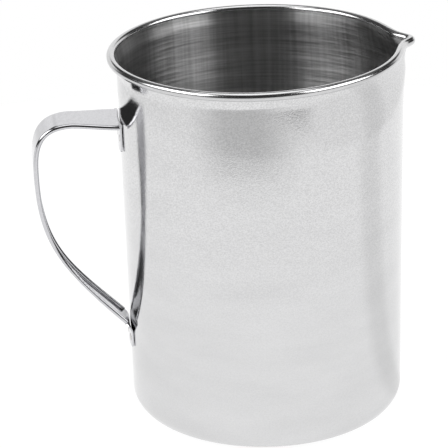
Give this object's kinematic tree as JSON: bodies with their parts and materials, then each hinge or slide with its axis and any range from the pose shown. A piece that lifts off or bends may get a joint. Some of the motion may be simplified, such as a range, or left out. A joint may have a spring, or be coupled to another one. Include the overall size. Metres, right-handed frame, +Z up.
{
  "type": "candle melting pot",
  "caption": "Straight-sided stainless pouring pot with a rolled rim, a small pinched spout and an open strap handle, for melting wax or soap over heat.",
  "frame": {"origin": "centre of the flat underside of the base, on the pot's axis", "axes": "+Z up along the pot's axis, +X towards the spout, the handle on -X"},
  "size_m": [0.1974, 0.1518, 0.1941],
  "materials": {
    "body_steel": "satin outside, circular brush marks inside, polished rim",
    "handle_steel": "polished stainless steel",
    "weld_steel": "dull spot-weld dimple with a faint heat tint"
  },
  "bodies": {
    "root": {"pot_body": "body_steel", "handle_strap": "handle_steel", "upper_weld_near": "weld_steel", "upper_weld_far": "weld_steel", "lower_weld_near": "weld_steel", "lower_weld_far": "weld_steel"}
  },
  "joints": []
}
